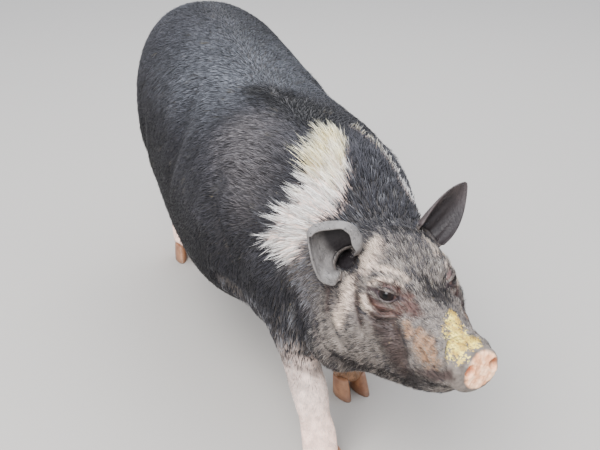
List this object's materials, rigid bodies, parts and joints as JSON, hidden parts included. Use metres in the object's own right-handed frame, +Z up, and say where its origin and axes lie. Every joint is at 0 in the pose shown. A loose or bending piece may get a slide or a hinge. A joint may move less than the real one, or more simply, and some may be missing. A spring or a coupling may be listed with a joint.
{
  "type": "pot-bellied pig",
  "caption": "Life-size model of an adult pot-bellied pig in a slow walking stance, its body parted into trunk, neck, head, snout, ears, eyes, legs, claws and tail.",
  "frame": {"origin": "on the floor, under the middle of the animal's bounding box", "axes": "+X forwards, from rump to snout; +Y to the pig's left; +Z up"},
  "size_m": [1.0124, 0.3162, 0.474],
  "materials": {
    "skin": "black and grey bristled hide with a pale shoulder band",
    "ear_skin": "dark grey skin, nearly bare inside",
    "snout_skin": "bare pink moist skin",
    "eye": "glossy dark brown",
    "horn": "worn tan horn"
  },
  "bodies": {
    "root": {"trunk": "skin", "neck": "skin", "head": "skin", "snout": "snout_skin", "ear_right": "ear_skin", "ear_left": "ear_skin", "eye_right": "eye", "eye_left": "eye", "foreleg_right": "skin", "foreleg_left": "skin", "hindleg_right": "skin", "hindleg_left": "skin", "tail": "skin", "claw_foreleg_left_inner": "horn", "claw_foreleg_left_outer": "horn", "claw_foreleg_right_inner": "horn", "claw_foreleg_right_outer": "horn", "claw_hindleg_left_inner": "horn", "claw_hindleg_left_outer": "horn", "claw_hindleg_right_inner": "horn", "claw_hindleg_right_outer": "horn", "dewclaw_foreleg_left_inner": "horn", "dewclaw_foreleg_left_outer": "horn", "dewclaw_foreleg_right_inner": "horn", "dewclaw_foreleg_right_outer": "horn", "dewclaw_hindleg_left_inner": "horn", "dewclaw_hindleg_left_outer": "horn", "dewclaw_hindleg_right_inner": "horn", "dewclaw_hindleg_right_outer": "horn"}
  },
  "joints": []
}
